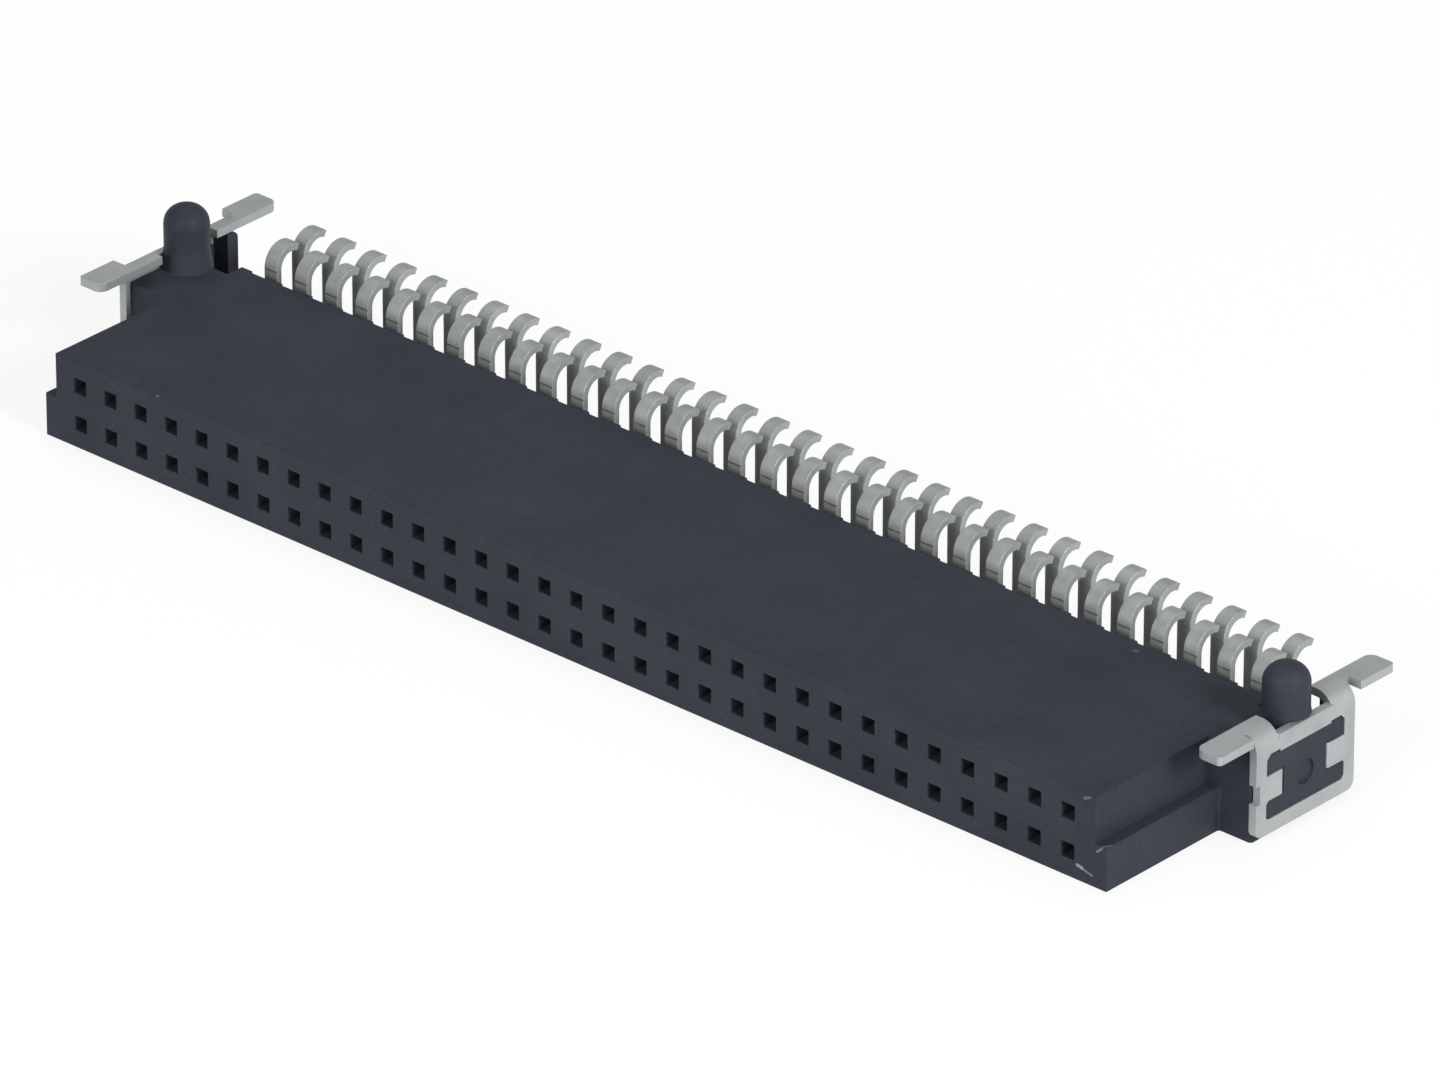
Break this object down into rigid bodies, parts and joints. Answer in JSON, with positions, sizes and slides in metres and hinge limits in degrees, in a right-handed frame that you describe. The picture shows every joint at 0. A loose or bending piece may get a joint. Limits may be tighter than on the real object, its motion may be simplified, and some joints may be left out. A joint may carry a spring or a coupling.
{
  "type": "board-to-board connector",
  "caption": "Angled two-row female board connector with square pin sockets, surface-mount solder feet, a round locating peg at each end and stamped hold-down clips.",
  "frame": {"origin": "on the flat resting face, midway between the two locating pegs", "axes": "+X along the row of contacts, +Y from the mating face towards the solder feet, +Z out of the resting face towards the board, along the pegs"},
  "size_m": [0.0454, 0.0108, 0.0049],
  "materials": {
    "housing": "dark slate moulded plastic with a fine satin grain",
    "clip": "satin tin plating on copper alloy",
    "contact": "satin tin plating on copper alloy"
  },
  "bodies": {
    "root": {"housing": "housing", "hold_down_right": "clip", "hold_down_left": "clip", "contact_pair_01": "contact", "contact_pair_02": "contact", "contact_pair_03": "contact", "contact_pair_04": "contact", "contact_pair_05": "contact", "contact_pair_06": "contact", "contact_pair_07": "contact", "contact_pair_08": "contact", "contact_pair_09": "contact", "contact_pair_10": "contact", "contact_pair_11": "contact", "contact_pair_12": "contact", "contact_pair_13": "contact", "contact_pair_14": "contact", "contact_pair_15": "contact", "contact_pair_16": "contact", "contact_pair_17": "contact", "contact_pair_18": "contact", "contact_pair_19": "contact", "contact_pair_20": "contact", "contact_pair_21": "contact", "contact_pair_22": "contact", "contact_pair_23": "contact", "contact_pair_24": "contact", "contact_pair_25": "contact", "contact_pair_26": "contact", "contact_pair_27": "contact", "contact_pair_28": "contact", "contact_pair_29": "contact", "contact_pair_30": "contact", "contact_pair_31": "contact", "contact_pair_32": "contact"}
  },
  "joints": []
}
